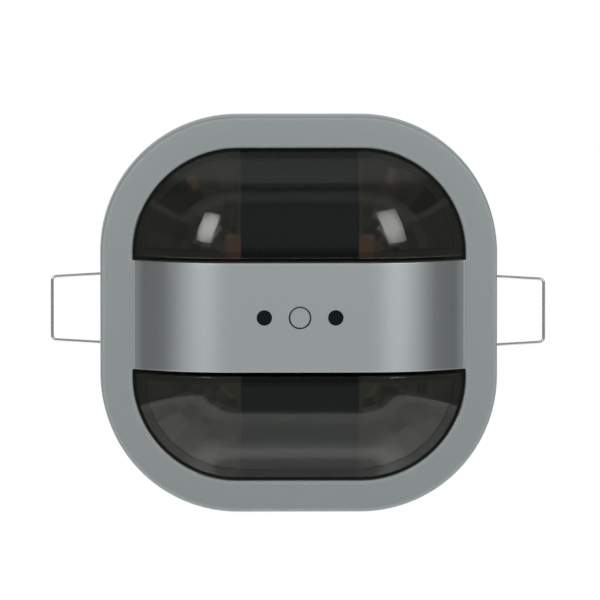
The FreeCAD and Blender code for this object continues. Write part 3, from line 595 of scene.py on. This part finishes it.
# Where the arrays' borders and the painted amber glints lie, in mm across, up or from the corner
# centres.
ARRAY_STARTS = (15.0, 15.4)
BORDER_OUTSIDE = (24.0, 24.4)
BORDER_INSIDE = (("Up", (16.8, 17.4)), ("Across", (16.1, 16.4)), ("Distance", (4.6, 5.6)))
AMBER_ENDS = (("Up", (20.6, 22.2)), ("Across", (18.4, 19.6)))


def smoked_window():
    material, tree, shader = finish_material(
        "smoked_window", IOR=1.7, Specular_IOR_Level=0.42, Specular_Tint=GLOSS_TINT
    )
    clouds = use_group(tree, CLOUDS, Clouds_per_metre=30.0, Contrast=0.6)
    dust = use_group(tree, DUST, Cells_per_metre=260.0, Speck_size=0.03)
    spot = use_group(tree, CORNERS, Corner_offset=CORNER_OFFSET)
    at_array = rise(tree, spot["Across"], ARRAY_STARTS)
    border = rise(tree, spot["Distance"], BORDER_OUTSIDE)
    for where, span in BORDER_INSIDE:
        border = math_node(tree, "MAXIMUM", border, fall(tree, spot[where], span))
    border = math_node(tree, "MULTIPLY", border, at_array)
    # A painted amber glint of the sensor cans, in the upper corners only.
    amber = math_node(tree, "MULTIPLY", at_array, spot["Upper"])
    for where, span in AMBER_ENDS:
        amber = math_node(tree, "MULTIPLY", amber, fall(tree, spot[where], span))
    smoke = mix_colour(tree, border, SMOKE, BORDER_SMOKE)
    smoke = mix_colour(tree, amber, smoke, PAINTED_AMBER_GLINT)
    tree.links.new(mix_colour(tree, dust["Mask"], smoke, DUST_COLOUR), shader["Base Color"])
    haze = range_node(tree, clouds["Mask"], 0.2, 0.8, POLISHED, HAZY)
    tree.links.new(haze, shader["Roughness"])
    tree.links.new(bump(tree, clouds["Mask"], strength=0.05, depth=0.2), shader["Normal"])
    slant = place(tree, "ShaderNodeLayerWeight").outputs["Facing"]
    alphas = (FACING_ALPHA, SLANTED_ALPHA)
    alpha = range_node(tree, slant, SLANT_STARTS, SLANT_ENDS, *alphas, smooth=True)
    tree.links.new(alpha, shader["Alpha"])
    return material


WINDOW = smoked_window()
print("made", WINDOW.name)

# %% [markdown]
# Behind each corner of the windows stands an array of lens segments in thin brownish plastic. Each
# flat gets its own random tone, painted in for the light it catches, one flat per upper corner gets
# a painted amber glint, and fine rings are cut into them. The rings are too fine for geometry, so
# they are a bump made from the distance to the middle of the detector.

# %% Lens film
FILM_DARK = (0.007, 0.005, 0.003)
FILM_LIGHT = (0.100, 0.085, 0.060)
FILM_PAINTED_GLINT = (0.16, 0.10, 0.057)
RING_SCALE = 420.0


def lens_film():
    material, tree, shader = finish_material(
        "lens_film", Roughness=0.12, IOR=1.6, Specular_IOR_Level=0.33
    )
    clouds = use_group(tree, CLOUDS, Clouds_per_metre=160.0, Contrast=1.2)
    facets = use_group(tree, FACETS, Ring_width=RING_WIDTH, First_ring=FIRST_RING)
    tone = mix_tones(tree, facets["Tone"], clouds["Mask"])
    film = mix_colour(tree, tone, FILM_DARK, FILM_LIGHT)
    # Painted light: a tone for each flat, and a painted glint on one flat per upper corner.
    tree.links.new(mix_colour(tree, facets["Glint"], film, FILM_PAINTED_GLINT), shader["Base Color"])
    rings = place(
        tree,
        "ShaderNodeTexWave",
        {"Vector": object_point(tree), "Scale": RING_SCALE, "Distortion": 0.0},
        wave_type="RINGS",
        rings_direction="SPHERICAL",
    ).outputs["Fac"]
    tree.links.new(bump(tree, rings, strength=0.04, depth=0.2), shader["Normal"])
    return material


LENS_FILM = lens_film()
print("made", LENS_FILM.name)

# %% [markdown]
# The plain plastics share one recipe: two close tones mixed by clouds and grain, a roughness that
# follows the same grain, and its height as bump. Only the colours, the scale and the gloss differ.

# %% Moulded plastics
GRAIN_LOW_DULLER = 0.06
GRAIN_HIGH_GLOSSIER = 0.04


def moulded_plastic(name, dark, light, rough, cells=3500.0, depth=0.04, strength=0.35):
    material, tree, shader = finish_material(name, Specular_IOR_Level=0.33)
    clouds = use_group(tree, CLOUDS, Clouds_per_metre=50.0, Contrast=0.8)
    grain = use_group(tree, GRAIN, Cells_per_metre=cells, Softness=0.5)
    tone = mix_tones(tree, clouds["Mask"], grain["Mask"])
    tree.links.new(mix_colour(tree, tone, dark, light), shader["Base Color"])
    gloss = (rough + GRAIN_LOW_DULLER, rough - GRAIN_HIGH_GLOSSIER)
    tree.links.new(range_node(tree, grain["Mask"], 0.0, 1.0, *gloss), shader["Roughness"])
    tree.links.new(bump(tree, grain["Height"], strength, depth), shader["Normal"])
    return material


BLACK = moulded_plastic("black_plastic", (0.002, 0.0027, 0.0027), (0.0047, 0.0053, 0.0053), 0.6)
GREY = moulded_plastic("grey_plastic", (0.36, 0.37, 0.37), (0.46, 0.47, 0.465), 0.5)
COMPONENT = moulded_plastic("component_black", (0.012, 0.012, 0.013), (0.03, 0.03, 0.031), 0.42)
RELAY = moulded_plastic("relay_case", (0.02, 0.045, 0.13), (0.04, 0.075, 0.19), 0.4)
TERMINAL = moulded_plastic("terminal_plastic", (0.52, 0.52, 0.49), (0.64, 0.64, 0.6), 0.45)
RUBBER = moulded_plastic("rubber", (0.008, 0.008, 0.008), (0.022, 0.022, 0.021), 0.7, cells=1800.0)
PORT = moulded_plastic(
    "port_glass", (0.001, 0.003, 0.004), (0.002, 0.005, 0.007), 0.14, strength=0.05
)
LED = moulded_plastic("led_epoxy", (0.3, 0.01, 0.008), (0.5, 0.03, 0.02), 0.16, strength=0.05)
PLASTICS = (BLACK, GREY, COMPONENT, RELAY, TERMINAL, RUBBER, PORT, LED)
print("made", [plastic.name for plastic in PLASTICS])

# %% [markdown]
# Bare metals: drawn wire has streaks along its length, and plated screws and pins have a cloudy
# zinc coat. Both use one recipe with the noise stretched along one axis or not.

# %% Metals
STREAK_LOW = 0.3
STREAK_HIGH = 0.7
STREAK_LOW_DULLER = 0.08
STREAK_HIGH_GLOSSIER = 0.06
ALONG_WIRE = (0.1, 1.0, 1.0)
ROUND_CAN = (1.0, 0.1, 1.0)
EVEN = (1.0, 1.0, 1.0)


def bare_metal(name, dark, light, rough, stretch=EVEN, cells=1500.0):
    material, tree, shader = finish_material(name, Metallic=1.0)
    point = place(tree, "ShaderNodeMapping", {"Vector": object_point(tree), "Scale": stretch})
    streaks = noise_at(tree, point.outputs["Vector"], cells, 4.0)
    tone = range_node(tree, streaks, STREAK_LOW, STREAK_HIGH, 0.0, 1.0)
    tree.links.new(mix_colour(tree, tone, dark, light), shader["Base Color"])
    gloss = (rough + STREAK_LOW_DULLER, rough - STREAK_HIGH_GLOSSIER)
    shine = range_node(tree, streaks, STREAK_LOW, STREAK_HIGH, *gloss)
    tree.links.new(shine, shader["Roughness"])
    tree.links.new(bump(tree, streaks, strength=0.15, depth=0.02), shader["Normal"])
    return material


WIRE = bare_metal("spring_wire", (0.42, 0.42, 0.40), (0.62, 0.62, 0.59), 0.3, ALONG_WIRE)
STEEL = bare_metal("screw_steel", (0.50, 0.50, 0.48), (0.68, 0.68, 0.66), 0.32, cells=600.0)
BRASS = bare_metal("brass", (0.55, 0.36, 0.14), (0.75, 0.53, 0.24), 0.3)
SENSOR_CAN = bare_metal("sensor_can", (0.52, 0.32, 0.14), (0.72, 0.48, 0.24), 0.28)
CAPACITOR = bare_metal("capacitor_can", (0.55, 0.55, 0.57), (0.7, 0.7, 0.72), 0.3, ROUND_CAN)
print("made", [metal.name for metal in (WIRE, STEEL, BRASS, SENSOR_CAN, CAPACITOR)])

# %% [markdown]
# The circuit boards are green solder resist over copper. The tracks show as slightly raised,
# lighter lines, which a brick pattern gives with no image.

# %% Circuit board
RESIST_DARK = (0.008, 0.07, 0.03)
RESIST_LIGHT = (0.014, 0.11, 0.045)
TRACK_GREEN = (0.03, 0.2, 0.08)
RESIST_ROUGHNESS = 0.28
TRACK_ROUGHNESS = 0.4
FLAT_ON_BOARD = (math.pi / 2, 0, 0)


def circuit_board():
    material, tree, shader = finish_material("circuit_board", IOR=1.5)
    turned = {"Vector": object_point(tree), "Rotation": FLAT_ON_BOARD}
    point = place(tree, "ShaderNodeMapping", turned).outputs["Vector"]
    pattern = {"Vector": point, "Scale": 160.0, "Mortar Size": 0.03}
    tracks = place(tree, "ShaderNodeTexBrick", pattern).outputs["Fac"]
    clouds = use_group(tree, CLOUDS, Clouds_per_metre=80.0, Contrast=0.8)
    resist = mix_colour(tree, clouds["Mask"], RESIST_DARK, RESIST_LIGHT)
    tree.links.new(mix_colour(tree, tracks, resist, TRACK_GREEN), shader["Base Color"])
    shine = range_node(tree, tracks, 0.0, 1.0, RESIST_ROUGHNESS, TRACK_ROUGHNESS)
    tree.links.new(shine, shader["Roughness"])
    tree.links.new(bump(tree, tracks, strength=0.3, depth=0.05), shader["Normal"])
    return material


BOARD = circuit_board()
print("made", BOARD.name)

# %% [markdown]
# Each solid now gets the finish of its material slot in the record.

# %% Finishes on the solids
FINISHES = {
    "silver_paint": SILVER,
    "smoked_window": WINDOW,
    "lens_film": LENS_FILM,
    "black_plastic": BLACK,
    "grey_plastic": GREY,
    "port_glass": PORT,
    "circuit_board": BOARD,
    "component_black": COMPONENT,
    "led_epoxy": LED,
    "relay_case": RELAY,
    "capacitor_can": CAPACITOR,
    "terminal_plastic": TERMINAL,
    "brass": BRASS,
    "screw_steel": STEEL,
    "spring_wire": WIRE,
    "sensor_can": SENSOR_CAN,
    "rubber": RUBBER,
}
for part in frame["record"]["subparts"]:
    solid = nodes[part["node"]]
    finish = FINISHES[part["material_slot"]]
    for slot in solid.material_slots:
        slot.material = finish
